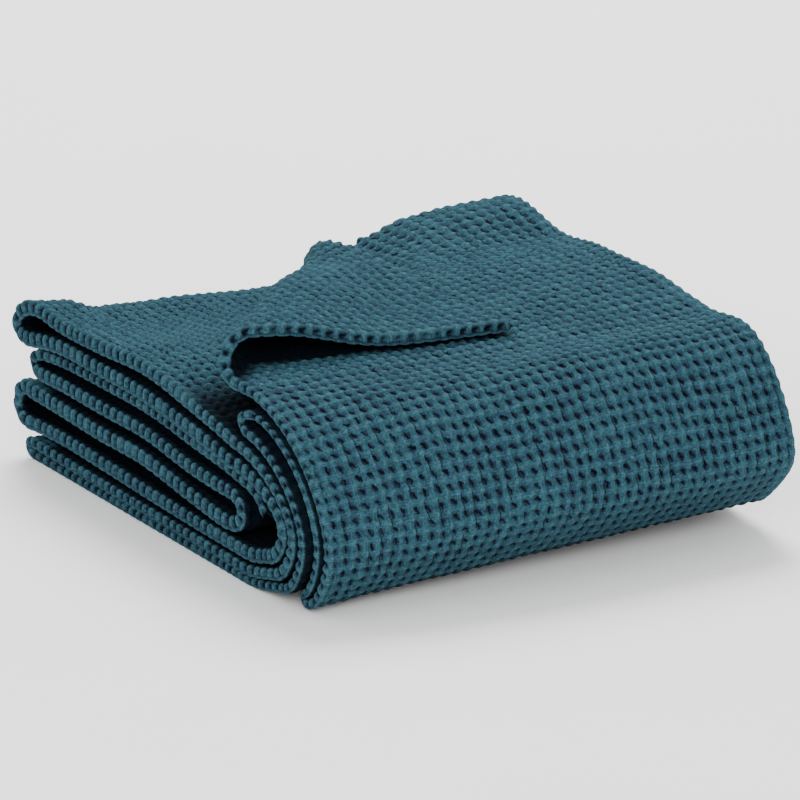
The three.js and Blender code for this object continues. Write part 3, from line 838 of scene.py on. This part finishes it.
def amount(name, description, default, low=0, high=1, **kind):
    kind = kind or {"subtype": "FACTOR"}
    return bpy.props.FloatProperty(
        name=name, description=description, default=default, min=low, max=high, **kind
    )


def metres(name, description, default, low, high):
    return amount(name, description, default, low, high, unit="LENGTH")


def degrees(name, description, default):
    return amount(name, description, math.radians(default), -math.pi, math.pi, subtype="ANGLE")


class BlanketWeaveSizes(bpy.types.PropertyGroup):
    cell: metres("Cell length", "Length of a waffle cell along the cloth", 0.009, 0.004, 0.03)
    depth: metres("Hollow depth", "Depth of a waffle hollow below the ridges round it", 0.0038, 0, 0.006)
    end_round: metres("End rounding", "Length over which a free edge rounds off", 0.006, 0.002, 0.01)

    def millimetres(self):
        return {"along": self.cell / MM, "depth": self.depth / MM, "end_round": self.end_round / MM}


class BlanketFinish(bpy.types.PropertyGroup):
    cloth: colour("Cloth", "Colour of the ridges of the cloth", (0.0225, 0.073, 0.096))
    cloth_dark: colour("Darker cloth", "Colour of the darker places of the cloth", (0.0165, 0.049, 0.073))
    # Painted shade: the colour of the sides of the hollows, where the weave is low.
    hollow_shade: colour("Deep cloth", "Colour of the sides of the hollows", (0.011, 0.017, 0.034))
    # Painted shade: the near-black colour mixed in deep in the slits and loop holes, inside the roll and
    # between the layers.
    hollow: colour("Hollows", "Colour deep in the hollows of the weave", (0.0003, 0.0012, 0.004))
    fibre: colour("Fibres", "Colour of loose fibres on the yarn", (0.074, 0.170, 0.205))
    fibre_share: amount("Fibre share", "How strongly loose fibres show", 0.32)
    # Painted highlight on the knobs of the weave, where light falls on them.
    knob_highlight: amount("Knob share", "How much paler the knobs of the weave are", 0.2)
    yarns: bpy.props.IntProperty(
        name="Yarns", description="Yarns in one waffle cell", default=5, min=4, max=16
    )
    yarn_height: metres("Yarn height", "Height of one yarn over the next", 0.0005, 0, 0.002)
    yarn_strength: amount("Yarn strength", "How strongly the yarns show", 0.8)
    roughness: amount("Roughness", "Roughness of the cotton", 0.92)
    sheen: amount("Sheen", "Soft light that loose fibres catch", 0.03)


class BlanketStage(bpy.types.PropertyGroup):
    floor: colour("Floor", "Colour of the floor", (0.93, 0.93, 0.93))
    floor_radius: metres("Floor radius", "Radius of the floor", 14, 1, 40)
    azimuth: degrees("Azimuth", "Camera's direction round the blanket", 58.9)
    elevation: degrees("Elevation", "Camera's angle above the horizon", 19.3)
    width: metres("View width", "Width that the camera sees at the blanket", 0.5333, 0.2, 2)
    lens: amount("Lens", "Focal length of the camera", 500, 35, 800, unit="CAMERA")
    key: amount("Key light", "Power of the main light", 122, 0, 500, unit="POWER")
    fill: amount("Fill light", "Power of the light at the side", 72, 0, 500, unit="POWER")
    room: amount("Room light", "Strength of the light all round", 1.14, 0, 3)


# ---- Pieces ----

WHOLE = ((0, ROWS),)
TOP_NEAR_CELLS = 14  # of the top layer's lower face that show past its near rim
UPPER_NEAR_CELLS = 16  # the same for the upper layer
TURNED_SHARE = 0.48  # of the top layer, that lies right of the turned corner's piece
LEFT_SEEN = -150  # X up to which the outside of a fold on the left shows
UPPER_CUTS = (60, -60)  # X between which the upper layer lies half open
CROSSING_STEP = 0.5


def cloth_piece(context, name, spans):
    """One run of the cloth, as a mesh of its spans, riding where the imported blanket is."""
    gathered = ClothMesh(context.scene.blanket_weave.millimetres())
    for span in spans:
        gathered.span(**span)
    piece = gathered.build(name)
    piece.data.materials.append(cotton(context.scene.blanket_finish))
    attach(piece, "root")
    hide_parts("blanket")


def crossing(ply, x, rightward):
    """The place along the cloth where a ply passes x."""
    start = PATH.marks[ply]
    later = [m for m in PATH.marks.values() if m > start]
    t = np.arange(start, min(later, default=PATH.end), CROSSING_STEP)
    at = np.interp(t, PATH.at, PATH.x)
    return float(np.interp(x, at, t) if rightward else np.interp(-x, -at, t))


def folded_piece(context, name, start, out, back, end):
    """A run of the cloth along the ply `out` to a fold on the left, whose outside shows, and `back`."""
    first, last = crossing(out, LEFT_SEEN, False), crossing(back, LEFT_SEEN, True)
    middle = dict(start=first, end=last, fine_upper=WHOLE)
    cloth_piece(context, name, [dict(start=start, end=first), middle, dict(start=last, end=end)])


class BLANKET_OT_top(bpy.types.Operator):
    """Build the top layer, with its corner rolled back over it"""

    bl_idname = "blanket.top_layer"
    bl_label = "Top layer"

    def execute(self, context):
        middle = -TURNED_SHARE * TOP_LENGTH
        seen = dict(fine_upper=WHOLE, joins=(1, 1))
        corner = dict(start=-TOP_LENGTH, end=middle, fine_lower=WHOLE, **seen)
        cloth_piece(context, "turned_corner", [corner])
        rest = dict(start=middle, end=0, fine_lower=((0, TOP_NEAR_CELLS),), **seen)
        cloth_piece(context, "top_layer", [rest])
        return {"FINISHED"}


class BLANKET_OT_outer(bpy.types.Operator):
    """Build the outer wrap, which comes down from the top layer to the foot"""

    bl_idname = "blanket.outer_wrap"
    bl_label = "Outer wrap"

    def execute(self, context):
        spans = [dict(start=0, end=PATH.marks["foot"], fine_upper=WHOLE, joins=(1, 0))]
        cloth_piece(context, "outer_wrap", spans)
        return {"FINISHED"}


class BLANKET_OT_pleat(bpy.types.Operator):
    """Build the narrow pleat that goes up between the outer wrap and the next one"""

    bl_idname = "blanket.pleat"
    bl_label = "Pleat"

    def execute(self, context):
        cloth_piece(context, "pleat", [dict(start=PATH.marks["foot"], end=PATH.marks["bottom"])])
        return {"FINISHED"}


class BLANKET_OT_lower(bpy.types.Operator):
    """Build the two lowest layers, with the fold between them on the left"""

    bl_idname = "blanket.lower_layers"
    bl_label = "Lower layers"

    def execute(self, context):
        start, end = PATH.marks["bottom"], PATH.marks["second wrap"]
        folded_piece(context, "lower_layers", start, "bottom", "second", end)
        return {"FINISHED"}


class BLANKET_OT_upper(bpy.types.Operator):
    """Build the second wrap and the layer under the turned corner, with the fold on its left"""

    bl_idname = "blanket.upper_layer"
    bl_label = "Upper layer"

    def execute(self, context):
        right, middle = (crossing("upper", x, False) for x in UPPER_CUTS)
        last = crossing("under", LEFT_SEEN, True)
        near = ((0, UPPER_NEAR_CELLS),)
        spans = [
            dict(start=PATH.marks["second wrap"], end=right),
            dict(start=right, end=middle, fine_lower=near, joins=(0, 1), ramp=LONG_SHADE_RAMP),
            dict(start=middle, end=last, fine_lower=WHOLE, joins=(1, 0)),
        ]
        cloth_piece(context, "upper_layer", spans)
        cloth_piece(context, "under_layer", [dict(start=last, end=PATH.marks["third wrap"])])
        return {"FINISHED"}


class BLANKET_OT_inner(bpy.types.Operator):
    """Build the third wrap and the layers inside it, down to the cloth's inner end"""

    bl_idname = "blanket.inner_layers"
    bl_label = "Inner layers"

    def execute(self, context):
        third, curl = PATH.marks["third wrap"], PATH.marks["inner curl"]
        folded_piece(context, "third_layers", third, "third", "fifth", curl)
        folded_piece(context, "inner_layers", curl, "fourth", "inmost", PATH.end)
        return {"FINISHED"}


# ---- Stage ----

AIM = Vector((0, 0, 0.08))
FRAME_CENTRE = (-0.001, 0.0640)  # what the camera's middle shows, right of and above the origin
LIGHTS = {"key": ((-1.4, 0.9, 2.4), 1.6), "fill": ((2.2, -1.6, 1.4), 1.8)}  # place and size
CLIP_END = 100


class BLANKET_OT_stage(bpy.types.Operator):
    """Build the floor, the lights and the camera"""

    bl_idname = "blanket.stage"
    bl_label = "Stage"

    def execute(self, context):
        stage = context.scene.blanket_stage
        self.floor(stage)
        self.lights(context, stage)
        self.camera(context, stage)
        return {"FINISHED"}

    def floor(self, stage):
        mesh = bpy.data.meshes.new("floor")
        angles = np.linspace(0, 2 * math.pi, FLOOR.sides + 1)[:-1]
        rim = [(stage.floor_radius * math.cos(a), stage.floor_radius * math.sin(a), 0) for a in angles]
        mesh.from_pydata(rim, [], [list(range(len(rim)))])
        floor = added("floor", mesh)
        material = bpy.data.materials.new("pale_floor")
        n = Nodes(material)
        tone = n.mixed(n.ranged(n.noise("floor"), *TONE), [c * FLOOR.dark for c in stage.floor], stage.floor)
        n.surface({"Base Color": tone, "Roughness": FLOOR.roughness, "Specular IOR Level": FLOOR.specular})
        mesh.materials.append(material)

    def lights(self, context, stage):
        world = bpy.data.worlds.new("studio")
        world.use_nodes = True
        background = world.node_tree.nodes["Background"]
        background.inputs[0].default_value = (1, 1, 1, 1)
        background.inputs[1].default_value = stage.room
        context.scene.world = world
        for name, (place, size) in LIGHTS.items():
            data = bpy.data.lights.new(name, "AREA")
            data.shape, data.size, data.energy = "DISK", size, getattr(stage, name)
            self.turn_back(added(name, data), Vector(place), Vector(place) - AIM)

    def turn_back(self, made, place, back):
        """Put a light or the camera in its place, looking away from `back`."""
        made.location = place
        made.rotation_mode = "QUATERNION"
        made.rotation_quaternion = (-back).to_track_quat("-Z", "Y")

    def camera(self, context, stage):
        right, up, back = Euler((math.pi / 2 - stage.elevation, 0, stage.azimuth)).to_matrix().col
        aim = AIM + right * (FRAME_CENTRE[0] - AIM.dot(right)) + up * (FRAME_CENTRE[1] - AIM.dot(up))
        data = bpy.data.cameras.new("camera")
        data.lens, data.clip_end = stage.lens, CLIP_END
        camera = added("camera", data)
        self.turn_back(camera, aim + back * (stage.width * stage.lens / data.sensor_width), back)
        context.scene.camera = camera


class BLANKET_PT_panel(bpy.types.Panel):
    """The blanket's sizes, finish and stage, with a button for each of its pieces"""

    bl_idname = "BLANKET_PT_panel"
    bl_label = "Waffle Weave Blanket"
    bl_space_type = "VIEW_3D"
    bl_region_type = "UI"
    bl_category = "Blanket"

    def draw(self, context):
        for name in GROUPS:
            group, box = getattr(context.scene, name), self.layout.box()
            box.label(text=name.split("_")[1].title())
            for value in group.__annotations__:
                box.prop(group, value)
        for operator in OPERATORS:
            self.layout.operator(operator.bl_idname)


GROUPS = {"blanket_weave": BlanketWeaveSizes, "blanket_finish": BlanketFinish, "blanket_stage": BlanketStage}
OPERATORS = (
    BLANKET_OT_top,
    BLANKET_OT_outer,
    BLANKET_OT_pleat,
    BLANKET_OT_lower,
    BLANKET_OT_upper,
    BLANKET_OT_inner,
    BLANKET_OT_stage,
)
CLASSES = (*GROUPS.values(), *OPERATORS, BLANKET_PT_panel)


def register():
    for made in CLASSES:
        bpy.utils.register_class(made)
    for name, group in GROUPS.items():
        setattr(bpy.types.Scene, name, bpy.props.PointerProperty(type=group))


def unregister():
    for name in GROUPS:
        delattr(bpy.types.Scene, name)
    for made in reversed(CLASSES):
        bpy.utils.unregister_class(made)


def main():
    register()
    bpy.ops.blanket.stage()
    bpy.ops.blanket.top_layer()
    bpy.ops.blanket.outer_wrap()
    bpy.ops.blanket.pleat()
    bpy.ops.blanket.lower_layers()
    bpy.ops.blanket.upper_layer()
    bpy.ops.blanket.inner_layers()


if __name__ == "__main__":
    main()
